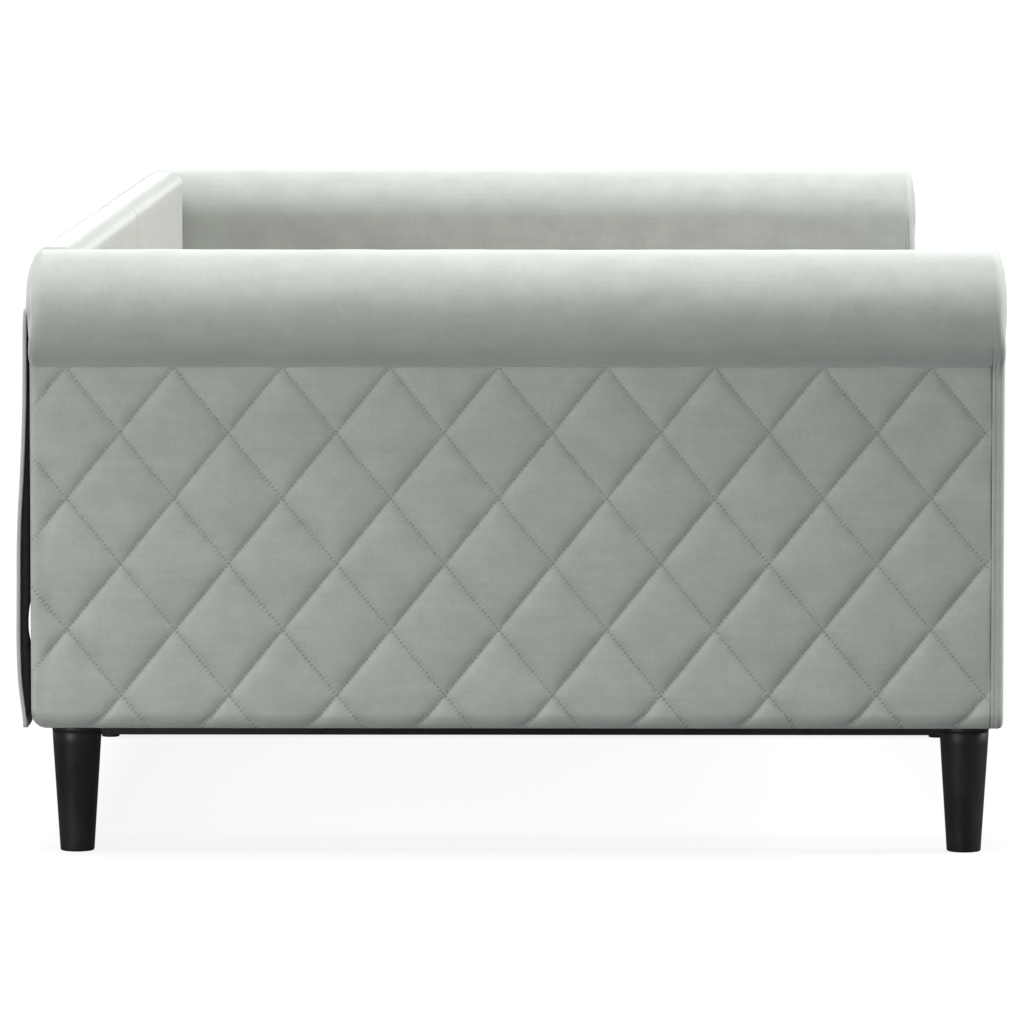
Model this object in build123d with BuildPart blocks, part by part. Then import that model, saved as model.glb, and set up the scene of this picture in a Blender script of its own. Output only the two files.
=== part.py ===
"""A velvet daybed for a 90 x 200 cm mattress: two rolled, quilted arms, a back and a front rail
in two halves each, thirteen slats, a centre support panel and four tapered legs.

X runs along the length, +Y towards the back, +Z up. The origin is on the floor, in the middle
of the whole outline.
"""

import math
import os

from build123d import *

# Overall sizes, in millimetres.
inner_length = 2010.0  # between the arms, for a 2000 mm mattress
depth = 975.0  # from the front bands to the rear plane of the arms
flap_bulge = 15.0  # how far the rear flaps stand out behind the arms
height = 607.0
leg_height = 127.0

# The arm: a flat inner face, a roll on top that overhangs outwards, and a quilted outer panel.
roll_radius = 59.5
arm_thickness = 76.0
velvet = 2.0
arm_foam = 10.0
skin_thickness = 3.0
quilt_thickness = 15.0
end_pad = 10.0
board_18 = 18.0

# The back and the front rail.
back_thickness = 47.0
back_round = 20.0
back_board_thickness = 25.0
back_foam = 18.0
rail_thickness = 26.0
rail_height = 230.0
rail_padding = 4.0

# The slatted base.
slat_count = 13
slat_width = 75.0
slat_thickness = 12.0
slat_length = 900.0
ledge_size = 25.0
slat_top = 277.0
support_thickness = 22.0
glide_height = 3.0
glide_diameter = 20.0

# Legs and fasteners.
leg_top_diameter = 50.0
leg_foot_diameter = 34.5
leg_collar = 5.0
front_leg_inset = 37.5
rear_leg_inset = 44.0
bolt_diameter = 8.0
bolt_clearance = 0.4
clearance = 0.3

# Planes worked out from the sizes above.
inner_x = inner_length / 2
front_y = -(depth + flap_bulge) / 2
rear_y = front_y + depth
roll_x = inner_x + roll_radius
roll_z = height - roll_radius
seam_angle = math.degrees(math.acos((arm_thickness - roll_radius) / roll_radius))
seam_z = roll_z - roll_radius * math.sin(math.radians(seam_angle))
rib_inset = velvet + arm_foam + skin_thickness
core_y = (front_y + end_pad, rear_y - 8.0)
rib_bottom = leg_height + velvet + board_18
rear_rib_y = rear_y - 50.0
flap_top = roll_z
back_y = rear_y - back_thickness
rail_inner_y = front_y + rail_thickness
ledge_top = slat_top - slat_thickness
half_length = inner_x - clearance
board_y = rear_y - velvet - back_board_thickness / 2
bolt_y = rear_y - 18.0
bolt_heights = (220.0, 440.0)
bracket_size = 40.0
bracket_thickness = 3.0
bracket_z = (150.0, 210.0)

os.makedirs("parts", exist_ok=True)


def write(name, part):
    """Labels a piece and writes its STEP file."""
    part.label = name
    export_step(part, f"parts/{name}.step")


def write_pair(name, part):
    """Writes a piece of the right side and its mirror image on the left side."""
    write(f"right_{name}", part)
    write(f"left_{name}", mirror(part, about=Plane.YZ))


def upright(y):
    """The upright plane across the length at this depth, with X to the right and Z up."""
    return Plane.XZ.offset(-y)


def sideways(x):
    """The upright plane across the depth at this place on the length, with Y and Z."""
    return Plane.YZ.offset(x)


def arm_wrap(outer, inner, bottom, y_from, y_to):
    """A layer that lies on the arm's inner face and goes over the roll to the seam."""
    with BuildPart() as layer:
        with BuildSketch(upright(y_from)):
            with BuildLine():
                face = Line((inner_x + outer, bottom), (inner_x + outer, roll_z))
                over = CenterArc((roll_x, roll_z), roll_radius - outer, 180, -180 - seam_angle)
                under = CenterArc((roll_x, roll_z), roll_radius - inner, -seam_angle, 180 + seam_angle)
                Line(over @ 1, under @ 0)
                back_down = Line(under @ 1, (inner_x + inner, bottom))
                Line(back_down @ 1, face @ 0)
            make_face()
        extrude(amount=y_from - y_to)
        with Locations(*[(inner_x + inner / 2, bolt_y, z) for z in bolt_heights]):
            Cylinder(bolt_diameter / 2 + bolt_clearance, 2 * inner, rotation=(0, 90, 0), mode=Mode.SUBTRACT)
    return layer.part


def arm_outline(inset, bottom):
    """The arm seen from its end, moved inwards by inset, as lines for a sketch."""
    reach = arm_thickness - inset - roll_radius
    radius = roll_radius - inset
    end_angle = math.degrees(math.acos(reach / radius))
    face = Line((inner_x + inset, bottom), (inner_x + inset, roll_z))
    over = CenterArc((roll_x, roll_z), radius, 180, -180 - end_angle)
    down = Line(over @ 1, (inner_x + arm_thickness - inset, bottom))
    Line(down @ 1, face @ 0)


def arm_rib(y_from):
    """A plywood rib that gives the arm its outline."""
    with BuildPart() as rib:
        with BuildSketch(upright(y_from)):
            with BuildLine():
                arm_outline(rib_inset, rib_bottom)
            make_face()
        extrude(amount=-board_18)
    return rib.part


def arm_bottom_rail():
    """The flat timber under the ribs, drilled for the two leg bolts."""
    middle_y = sum(core_y) / 2
    with BuildPart() as rail:
        with Locations((inner_x + arm_thickness / 2, middle_y, leg_height + velvet)):
            Box(
                arm_thickness - 2 * rib_inset,
                core_y[1] - core_y[0],
                board_18,
                align=(Align.CENTER, Align.CENTER, Align.MIN),
            )
        with Locations(*leg_places(rib_bottom)):
            Cylinder(bolt_diameter / 2, 2 * board_18, mode=Mode.SUBTRACT)
    return rail.part


def arm_top_rail():
    """The timber inside the roll that ties the two ribs together."""
    y_from = core_y[0] + board_18
    with BuildPart() as rail:
        with BuildSketch(upright(y_from)):
            with Locations((roll_x, roll_z + 27.0)):
                Rectangle(30.0, board_18)
        extrude(amount=y_from - rear_rib_y)
    return rail.part


def quilted_panel():
    """The outer panel: velvet and wadding stitched through to a thin board."""
    with BuildPart() as panel:
        with BuildSketch(upright(core_y[0])):
            with BuildLine():
                x_out = inner_x + arm_thickness
                Polyline(
                    (x_out - quilt_thickness, leg_height),
                    (x_out, leg_height),
                    (x_out, seam_z - 1.0),
                    (x_out - quilt_thickness, seam_z - 1.0),
                    close=True,
                )
            make_face()
        extrude(amount=core_y[0] - rear_y)
    return panel.part


def front_band():
    """The padded velvet band that closes the arm's front end."""
    with BuildPart() as band:
        with BuildSketch(upright(front_y)):
            with BuildLine():
                arm_outline(0.0, leg_height)
            make_face()
        extrude(amount=-end_pad)
    return band.part


def rear_cap():
    """The padded velvet that closes the upper half of the roll at the rear, above the flap."""
    with BuildPart() as cap:
        with BuildSketch(upright(core_y[1])):
            with BuildLine():
                rise = flap_top + clearance - roll_z
                radius = roll_radius - velvet
                start = math.degrees(math.asin(rise / radius))
                over = CenterArc((roll_x, roll_z), radius, start, 180 - 2 * start)
                Line(over @ 1, over @ 0)
            make_face()
        extrude(amount=core_y[1] - rear_y)
    return cap.part


def rear_liner():
    """The black liner over the arm's rear end, with a slot to reach the bolts of the back."""
    width = arm_thickness - quilt_thickness - velvet
    low, high = leg_height + velvet, roll_z
    with BuildPart() as liner:
        with BuildSketch(upright(core_y[1])):
            with Locations((inner_x + velvet + width / 2, (low + high) / 2)):
                Rectangle(width, high - low)
            with Locations((inner_x + rib_inset + 18.0, sum(bolt_heights) / 2)):
                SlotOverall(300.0, 26.0, rotation=90, mode=Mode.SUBTRACT)
        extrude(amount=-velvet)
    return liner.part


def dust_cover():
    """The black non-woven cloth under the arm."""
    width = arm_thickness - quilt_thickness - velvet
    with BuildPart() as cloth:
        with BuildSketch(Plane.XY.offset(leg_height)):
            with Locations((inner_x + velvet + width / 2, sum(core_y) / 2)):
                Rectangle(width, core_y[1] - core_y[0])
            with Locations(*[place[:2] for place in leg_places(0)]):
                Circle(bolt_diameter / 2 + bolt_clearance, mode=Mode.SUBTRACT)
        extrude(amount=velvet)
    return cloth.part


def rear_flap():
    """The loose velvet flap that hangs over the arm's rear end from a sewn seam."""
    thickness = 3.0
    bottom = leg_height
    width = arm_thickness - 2 * velvet
    inside = rear_y + clearance
    bulge = rear_y + flap_bulge - thickness
    belly_z = 298.0
    with BuildPart() as flap:
        with BuildSketch(sideways(inner_x + velvet)):
            with BuildLine():
                upper_in = Line((inside, flap_top), (inside + 4.0, flap_top - 60.0))
                belly_in = ThreePointArc(upper_in @ 1, (bulge, belly_z), (inside + 5.0, bottom))
                hem = Line(belly_in @ 1, belly_in @ 1 + Vector(thickness, 0))
                belly_out = ThreePointArc(
                    hem @ 1, (bulge + thickness, belly_z), upper_in @ 1 + Vector(thickness, 0)
                )
                upper_out = Line(belly_out @ 1, upper_in @ 0 + Vector(thickness, 0))
                Line(upper_out @ 1, upper_in @ 0)
            make_face()
        extrude(amount=width)
    return flap.part


def leg_places(z):
    """The right arm's leg axes, at this height."""
    x = inner_x + arm_thickness / 2
    return [(x, front_y + front_leg_inset, z), (x, rear_y - rear_leg_inset, z)]


def leg(place):
    """A tapered round leg with a short collar, drilled from the top for its bolt."""
    foot, top = leg_foot_diameter / 2, leg_top_diameter / 2
    collar_z = leg_height - leg_collar
    with BuildPart() as body:
        with BuildSketch(Plane.XZ):
            with BuildLine():
                Polyline(
                    (0, 0),
                    (foot, 0),
                    (top - 0.8, collar_z),
                    (top, collar_z),
                    (top, leg_height),
                    (0, leg_height),
                    close=True,
                )
            make_face()
        revolve(axis=Axis.Z)
        fillet(body.edges().filter_by(GeomType.CIRCLE).group_by(Axis.Z)[0], 2.0)
        with Locations((0, 0, leg_height)):
            Cylinder(bolt_diameter / 2, 2 * 32.0, mode=Mode.SUBTRACT)
    return Pos(place[0], place[1], 0) * body.part


def leg_bolts():
    """The four threaded rods that screw the legs into the arms' bottom rails."""
    right = leg_places(0)
    with BuildPart() as rods:
        with Locations(*[(sign * x, y, leg_height - 30.0) for x, y, _ in right for sign in (-1, 1)]):
            Cylinder(bolt_diameter / 2, 48.0, align=(Align.CENTER, Align.CENTER, Align.MIN))
    return rods.part


def back_profile(inset, bottom):
    """The back's cross-section, moved inwards by inset, with its rounded top."""
    y_low, y_high = back_y + inset, rear_y - inset
    top = height - inset
    with BuildSketch() as profile:
        with Locations(((y_low + y_high) / 2, (bottom + top) / 2)):
            Rectangle(y_high - y_low, top - bottom)
        fillet(profile.vertices().group_by(Axis.Y)[-1], back_round - inset)
    return profile.sketch_local


def back_board():
    """The stiff board inside one half of the back, drilled for the bolts from the arm."""
    bottom = leg_height + velvet
    top = height - velvet - back_foam
    with BuildPart() as board:
        with BuildSketch(sideways(clearance)):
            with Locations((board_y, (bottom + top) / 2)):
                Rectangle(back_board_thickness, top - bottom)
        extrude(amount=half_length - clearance)
        with Locations(*[(half_length, bolt_y, z) for z in bolt_heights]):
            Cylinder(bolt_diameter / 2, 2 * 45.0, rotation=(0, 90, 0), mode=Mode.SUBTRACT)
    return board.part


def back_padding():
    """The foam on the front and over the top of one half of the back."""
    bottom = leg_height + velvet
    board_top = height - velvet - back_foam
    with BuildPart() as foam:
        with BuildSketch(sideways(clearance)):
            add(back_profile(velvet, bottom))
            with Locations((board_y, (bottom + board_top) / 2)):
                Rectangle(back_board_thickness, board_top - bottom, mode=Mode.SUBTRACT)
        extrude(amount=half_length - clearance)
    return foam.part


def back_cover():
    """The velvet that wraps the front, the top and the rear of one half of the back."""
    with BuildPart() as cover:
        with BuildSketch(sideways(clearance)):
            add(back_profile(0.0, leg_height))
            add(back_profile(velvet, leg_height), mode=Mode.SUBTRACT)
        extrude(amount=half_length - clearance)
    return cover.part


def rail_board():
    """The board inside one half of the front rail."""
    with BuildPart() as board:
        with BuildSketch(sideways(clearance)):
            with Locations((front_y + rail_thickness / 2, leg_height + (rail_height - rail_padding) / 2)):
                Rectangle(board_18, rail_height - rail_padding)
        extrude(amount=half_length - clearance)
    return board.part


def rail_cover():
    """The padded velvet that wraps the front, the top and the inside of one half of the rail."""
    with BuildPart() as cover:
        with BuildSketch(sideways(clearance)) as profile:
            with Locations((front_y + rail_thickness / 2, leg_height + rail_height / 2)):
                Rectangle(rail_thickness, rail_height)
            fillet(profile.vertices().group_by(Axis.Y)[-1], 8.0)
            with Locations((front_y + rail_thickness / 2, leg_height + (rail_height - rail_padding) / 2)):
                Rectangle(board_18, rail_height - rail_padding, mode=Mode.SUBTRACT)
        extrude(amount=half_length - clearance)
    return cover.part


def ledges(y_low):
    """Two timber ledges in line, which carry the slat ends on either side of the centre panel."""
    x_from = support_thickness / 2 + clearance
    length = inner_x - 15.0 - x_from
    x, y, z = x_from + length / 2, y_low + ledge_size / 2, ledge_top - ledge_size / 2
    with BuildPart() as bars:
        with Locations((-x, y, z), (x, y, z)):
            Box(length, ledge_size, ledge_size)
        chamfer(bars.edges().filter_by(Axis.X), 1.5)
    return bars.part


def slat(index):
    """One plywood slat across the depth, with rounded long edges."""
    pitch = inner_length / slat_count
    x = (index - (slat_count - 1) / 2) * pitch
    y = (rail_inner_y + back_y) / 2
    with BuildPart() as board:
        with Locations((x, y, slat_top - slat_thickness / 2)):
            Box(slat_width, slat_length, slat_thickness)
        fillet(board.edges().filter_by(Axis.Y), 3.0)
    return board.part


def centre_panel():
    """The board across the middle of the bed that stands on two glides under the rail and the back."""
    rail_low = leg_height - clearance
    with BuildPart() as panel:
        with BuildSketch(sideways(-support_thickness / 2)):
            with BuildLine():
                Polyline(
                    (front_y + 3.0, glide_height),
                    (rear_y - 3.0, glide_height),
                    (rear_y - 3.0, rail_low),
                    (back_y - clearance, rail_low),
                    (back_y - clearance, ledge_top),
                    (rail_inner_y + clearance, ledge_top),
                    (rail_inner_y + clearance, rail_low),
                    (front_y + 3.0, rail_low),
                    close=True,
                )
            make_face()
        extrude(amount=support_thickness)
    return panel.part


def centre_glides():
    """The two plastic glides under the ends of the centre panel."""
    front = front_y + 16.5
    rear = rear_y - 14.5
    with BuildPart() as glides:
        with Locations((0, front, 0), (0, rear, 0)):
            Cylinder(glide_diameter / 2, glide_height, align=(Align.CENTER, Align.CENTER, Align.MIN))
        fillet(glides.edges().filter_by(GeomType.CIRCLE).group_by(Axis.Z)[0], 0.8)
    return glides.part


def back_bolts():
    """The four bolts from inside the arms into the ends of the back boards."""
    washer_x = inner_x + rib_inset
    with BuildPart() as bolts:
        for sign in (-1, 1):
            with Locations(*[(sign * (washer_x - 30.0), bolt_y, z) for z in bolt_heights]):
                Cylinder(bolt_diameter / 2, 60.0, rotation=(0, 90, 0))
            with Locations(*[(sign * (washer_x + 1.0), bolt_y, z) for z in bolt_heights]):
                Cylinder(9.0, 2.0, rotation=(0, 90, 0))
            for z in bolt_heights:
                with BuildSketch(sideways(sign * (washer_x + 2.0))):
                    with Locations((bolt_y, z)):
                        RegularPolygon(7.5, 6)
                extrude(amount=sign * 5.5)
    return bolts.part


def rail_brackets():
    """The two steel angles that fix the front rail to the arms, inside the corners."""
    low, high = bracket_z
    with BuildPart() as angles:
        for sign in (-1, 1):
            x_wall = sign * (inner_x - clearance)
            x_free = x_wall - sign * bracket_size
            x_skin = x_wall - sign * bracket_thickness
            y_wall, y_free = rail_inner_y, rail_inner_y + bracket_size
            with BuildSketch(Plane.XY.offset(low)):
                with BuildLine():
                    Polyline(
                        (x_wall, y_wall),
                        (x_wall, y_free),
                        (x_skin, y_free),
                        (x_skin, y_wall + bracket_thickness),
                        (x_free, y_wall + bracket_thickness),
                        (x_free, y_wall),
                        close=True,
                    )
                make_face()
            extrude(amount=high - low)
    return angles.part


# The arms.
write_pair("arm_cover", arm_wrap(0.0, velvet, leg_height, core_y[0], rear_y))
write_pair("arm_foam", arm_wrap(velvet, velvet + arm_foam, leg_height + velvet, *core_y))
write_pair("arm_skin_board", arm_wrap(velvet + arm_foam, rib_inset, leg_height + velvet, *core_y))
write_pair("arm_front_rib", arm_rib(core_y[0]))
write_pair("arm_rear_rib", arm_rib(rear_rib_y))
write_pair("arm_bottom_rail", arm_bottom_rail())
write_pair("arm_top_rail", arm_top_rail())
write_pair("arm_quilted_panel", quilted_panel())
write_pair("arm_front_band", front_band())
write_pair("arm_rear_cap", rear_cap())
write_pair("arm_rear_liner", rear_liner())
write_pair("arm_dust_cover", dust_cover())
write_pair("rear_flap", rear_flap())

# The legs.
for leg_name, leg_place in zip(("front_leg", "rear_leg"), leg_places(0)):
    write_pair(leg_name, leg(leg_place))
write("leg_bolts", leg_bolts())

# The back and the front rail, each in two halves.
write_pair("back_board", back_board())
write_pair("back_foam", back_padding())
write_pair("back_cover", back_cover())
write_pair("rail_board", rail_board())
write_pair("rail_cover", rail_cover())
write("back_bolts", back_bolts())
write("rail_brackets", rail_brackets())

# The slatted base.
write("front_ledges", ledges(rail_inner_y))
write("rear_ledges", ledges(back_y - ledge_size))
for number in range(slat_count):
    write(f"slat_{number + 1:02d}", slat(number))
write("centre_panel", centre_panel())
write("centre_glides", centre_glides())
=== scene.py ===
"""Looks of the velvet daybed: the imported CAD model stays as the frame, and every soft piece is
made here as what it is: stretched velvet, quilting, piping, loose flaps, foam and lining cloth.

Metres, in the frame of the CAD model: X along the length, +Y towards the back, +Z up.
"""

import math

import bmesh
import bpy
import numpy as np
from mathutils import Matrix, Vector
from mathutils.geometry import delaunay_2d_cdt


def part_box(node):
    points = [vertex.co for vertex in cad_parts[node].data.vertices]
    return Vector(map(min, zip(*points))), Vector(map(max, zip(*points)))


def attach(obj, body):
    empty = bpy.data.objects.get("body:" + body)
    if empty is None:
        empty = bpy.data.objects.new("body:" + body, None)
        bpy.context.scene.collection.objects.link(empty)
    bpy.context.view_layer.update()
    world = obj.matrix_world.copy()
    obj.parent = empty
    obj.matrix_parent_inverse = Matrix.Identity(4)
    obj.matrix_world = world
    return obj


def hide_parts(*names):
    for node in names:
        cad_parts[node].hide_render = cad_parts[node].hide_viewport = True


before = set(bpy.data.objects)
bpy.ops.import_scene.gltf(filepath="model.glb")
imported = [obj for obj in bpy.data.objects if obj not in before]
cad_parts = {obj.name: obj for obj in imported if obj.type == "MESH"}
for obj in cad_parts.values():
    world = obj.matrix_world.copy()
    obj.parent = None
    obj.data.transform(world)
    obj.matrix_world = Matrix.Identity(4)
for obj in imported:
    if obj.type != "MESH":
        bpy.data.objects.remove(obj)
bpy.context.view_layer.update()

MM = 0.001
BED = "bed"
SIDES = {"left": -1, "right": 1}

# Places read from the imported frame.
cover_low, cover_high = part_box("right_arm_cover")
band_low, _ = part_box("right_arm_front_band")
_, quilt_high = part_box("right_arm_quilted_panel")
flap_low, flap_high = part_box("right_rear_flap")
_, liner_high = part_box("right_arm_rear_liner")

INNER_X = cover_low.x
ROLL_RADIUS = (cover_high.x - cover_low.x) / 2
ARM_THICKNESS = quilt_high.x - INNER_X
# The velvet goes round the lower edges of the boards, a little below them.
BOTTOM = cover_low.z - 1.0 * MM
TOP = cover_high.z
ROLL_Z = TOP - ROLL_RADIUS
FRONT_Y = band_low.y
REAR_Y = cover_high.y
SEAM_ANGLE = math.acos((ARM_THICKNESS - ROLL_RADIUS) / ROLL_RADIUS)
SEAM_Z = ROLL_Z - ROLL_RADIUS * math.sin(SEAM_ANGLE)
FRONT_SEAM_Y = FRONT_Y + 12.7 * MM

# The roll's ends are domed past the flat ends of the arm. The panel and the inner face turn
# under at the bottom with these radii. The cover goes SEAM_TUCK into the panel's seam, and the
# panel starts PANEL_GAP above it.
FRONT_DOME = 1.2 * MM
REAR_DOME = 1.9 * MM
OUTER_CORNER = 17 * MM
INNER_CORNER = 6 * MM
SEAM_TUCK = 5 * MM
PANEL_GAP = 1.2 * MM

# Quilting: diamonds of this width and height, with one crossing at this place along the panel.
DIAMOND_WIDTH = 108.2 * MM
DIAMOND_HEIGHT = 132.0 * MM
CROSSING_Y = 10.5 * MM
STITCH_PITCH = 4.4 * MM
QUILT_GRADIENT = math.hypot(1 / DIAMOND_WIDTH, 1 / DIAMOND_HEIGHT)
QUILT_DEPTH = 4.4 * MM
NOTCH_REACH = 1.3 * MM
QUILT_STEP = 2.05 * MM


# ---------------------------------------------------------------- mesh helpers


def new_object(name, points, faces, materials):
    """An object with these points and faces, shaded smooth."""
    mesh = bpy.data.meshes.new(name)
    mesh.from_pydata([tuple(p) for p in points], [], [tuple(f) for f in faces])
    mesh.polygons.foreach_set("use_smooth", [True] * len(mesh.polygons))
    for material in materials:
        mesh.materials.append(material)
    made = bpy.data.objects.new(name, mesh)
    bpy.context.scene.collection.objects.link(made)
    return made


def polygons(made, what, width=3):
    """A measure of every face: its normal, center or area."""
    values = np.empty(len(made.data.polygons) * width)
    made.data.polygons.foreach_get(what, values)
    return values.reshape(-1, width)


def face_outwards(made):
    """Turns the faces so that on the whole they look away from the middle of the piece."""
    centres, areas = polygons(made, "center"), polygons(made, "area", 1)
    middle = (centres * areas).sum(axis=0) / areas.sum()
    if (areas * (centres - middle) * polygons(made, "normal")).sum() < 0:
        made.data.flip_normals()
    return made


def look_along(made, direction):
    """Turns the faces of a nearly flat piece to look along direction."""
    if (polygons(made, "normal") @ np.array(direction, float)).sum() < 0:
        made.data.flip_normals()
    return made


def consistent(made):
    """Makes the faces of a closed piece all look outwards."""
    edit = bmesh.new()
    edit.from_mesh(made.data)
    bmesh.ops.remove_doubles(edit, verts=edit.verts, dist=1e-6)
    bmesh.ops.recalc_face_normals(edit, faces=edit.faces)
    edit.to_mesh(made.data)
    edit.free()
    return made


def grid_faces(rows, columns, around=False):
    """Faces of a grid of rows x columns points; around joins the last column to the first."""
    steps = columns if around else columns - 1
    i, j = np.meshgrid(np.arange(rows - 1), np.arange(steps), indexing="ij")
    a = (i * columns + j).ravel()
    b = (i * columns + (j + 1) % columns).ravel()
    return np.stack([a, b, b + columns, a + columns], axis=1)


def surface(name, grid, materials, around=False):
    """A piece from a grid of points."""
    faces = grid_faces(*grid.shape[:2], around)
    return face_outwards(new_object(name, grid.reshape(-1, 3), faces, materials))


def thicken(made, thickness):
    """Gives a piece thickness on its inner side, written into its mesh."""
    solid = made.modifiers.new("thickness", "SOLIDIFY")
    solid.thickness = thickness
    solid.offset = -1
    graph = bpy.context.evaluated_depsgraph_get()
    mesh = bpy.data.meshes.new_from_object(made.evaluated_get(graph))
    made.modifiers.clear()
    made.data = mesh
    return made


def wobble(y, z, size, seed):
    """A smooth unevenness between about -1 and 1, with bumps of this size."""
    y, z = y / size, z / size
    return (
        np.sin(2.1 * y + 1.3 * z + seed)
        + np.sin(-1.2 * y + 2.6 * z + 2.3 * seed)
        + np.sin(3.7 * y + 0.6 * z + 4.1 * seed)
        + np.sin(0.5 * y - 3.9 * z + 5.7 * seed)
    ) / 4


def smooth_step(value, low, high):
    t = np.clip((value - low) / (high - low), 0, 1)
    return t * t * (3 - 2 * t)


def smooth_curve(places, values, at):
    """A soft curve through a few given values."""
    fine = np.linspace(places[0], places[-1], 161)
    rough = np.interp(fine, places, values)
    width = 15
    kernel = np.hanning(width + 2)[1:-1]
    padded = np.pad(rough, width // 2, mode="edge")
    return np.interp(at, fine, np.convolve(padded, kernel / kernel.sum(), mode="valid"))


# A stitch's sections: (share of its length, share of its radius, share of its rise).
STITCH_SECTIONS = [
    (0.0, 0.35, -0.4), (0.22, 1.0, 0.6), (0.5, 1.15, 1.0), (0.78, 1.0, 0.6), (1.0, 0.35, -0.4),
]  # fmt: skip
STITCH_SIDES = 5
# A stitch's start and length as shares of the pitch.
STITCH_START, STITCH_SHARE = 0.16, 0.68


def stitch_row(path, pitch):
    """Starts and ends of stitches spaced along a path of points."""
    path = np.asarray(path)
    steps = np.linalg.norm(np.diff(path, axis=0), axis=1)
    along = np.concatenate([[0], np.cumsum(steps)])
    count = int(along[-1] / pitch)
    first = (np.arange(count) + STITCH_START) * along[-1] / max(count, 1)

    def pick(run):
        return np.stack([np.interp(run, along, path[:, k]) for k in range(3)], axis=1)

    return pick(first), pick(first + STITCH_SHARE * pitch)


def stitches(name, paths, outward, pitch, radius, rise):
    """Short raised threads spaced along every path, each bowed out along its path's outward."""
    pairs = [stitch_row(path, pitch) for path in paths]
    starts = np.concatenate([first for first, _ in pairs])
    along = np.concatenate([last for _, last in pairs]) - starts
    outward = np.repeat(np.array(outward, float), [len(first) for first, _ in pairs], axis=0)
    across = np.cross(along, outward)
    across /= np.linalg.norm(across, axis=1)[:, None]
    angles = np.arange(STITCH_SIDES) * 2 * math.pi / STITCH_SIDES
    rings = []
    for place, width, height in STITCH_SECTIONS:
        middle = starts + along * place + outward * rise * height
        for angle in angles:
            reach = radius * width
            sideways, out = across * reach * math.cos(angle), outward * reach * math.sin(angle)
            rings.append(middle + sideways + out)
    points = np.stack(rings, axis=1)
    one = grid_faces(len(STITCH_SECTIONS), STITCH_SIDES, around=True)
    first = np.arange(len(starts)) * len(rings)
    faces = (one[None] + first[:, None, None]).reshape(-1, 4)
    return new_object(name, points.reshape(-1, 3), faces, [THREAD])


# ---------------------------------------------------------------- materials


class Look:
    """A procedural material: its Principled node, and short ways to add nodes to it."""

    def __init__(self, name, roughness, specular=0.5):
        self.material = bpy.data.materials.new(name)
        self.material.use_nodes = True
        self.principled = self.material.node_tree.nodes["Principled BSDF"]
        self.set(Roughness=roughness, **{"Specular IOR Level": specular})

    def set(self, **values):
        """Constants on the Principled node's own sockets."""
        for key, value in values.items():
            self.principled.inputs[key].default_value = value

    def link(self, source, target):
        self.material.node_tree.links.new(source, target)

    def drive(self, source, socket):
        """Feeds one of the Principled node's sockets."""
        self.link(source, self.principled.inputs[socket])

    def add(self, kind, vector=None, **settings):
        """A node, each setting an attribute of it or the value of one of its inputs."""
        node = self.material.node_tree.nodes.new("ShaderNode" + kind)
        for key, value in settings.items():
            if hasattr(node, key):
                setattr(node, key, value)
            else:
                node.inputs[key].default_value = value
        if vector is not None:
            self.link(vector, node.inputs["Vector"])
        return node

    def place(self, scale=(1, 1, 1)):
        """Object coordinates, stretched."""
        found = self.add("TexCoord").outputs["Object"]
        return self.add("Mapping", found, Scale=scale).outputs["Vector"]

    def noise(self, vector, scale, detail=3.0, roughness=0.5):
        node = self.add("TexNoise", vector, Scale=scale, Detail=detail, Roughness=roughness)
        return node.outputs["Fac"]

    def cells(self, scale, stretch=(1, 1, 1), **settings):
        """Voronoi cells."""
        return self.add("TexVoronoi", self.place(stretch), Scale=scale, **settings).outputs

    def ramp(self, factor, low, high, at=(0.3, 0.7)):
        """Blends from one colour to another between two values of factor."""
        node = self.add("ValToRGB")
        for element, position, colour in zip(node.color_ramp.elements, at, (low, high)):
            element.position = position
            element.color = (*colour, 1)
        self.link(factor, node.inputs["Fac"])
        return node.outputs["Color"]

    def multiply(self, first, second, share=1.0):
        mix = self.add("Mix", data_type="RGBA", blend_type="MULTIPLY")
        mix.inputs[0].default_value = share
        self.link(first, mix.inputs[6])
        self.link(second, mix.inputs[7])
        return mix.outputs[2]

    def darken(self, base, factor, dark, at, share=1.0):
        """Darkens the base colour where factor is low."""
        return self.multiply(base, self.ramp(factor, grey(dark), grey(1.0), at), share)

    def maths(self, operation, first, second):
        node = self.add("Math", operation=operation)
        for socket, value in zip(node.inputs, (first, second)):
            if isinstance(value, (int, float)):
                socket.default_value = value
            else:
                self.link(value, socket)
        return node.outputs[0]

    def bump(self, height, distance, strength=1.0, under=None):
        made = self.add("Bump", Distance=distance, Strength=strength)
        self.link(height, made.inputs["Height"])
        if under is not None:
            self.link(under, made.inputs["Normal"])
        self.drive(made.outputs["Normal"], "Normal")
        return made.outputs["Normal"]


def grey(value):
    return (value, value, value)


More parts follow.
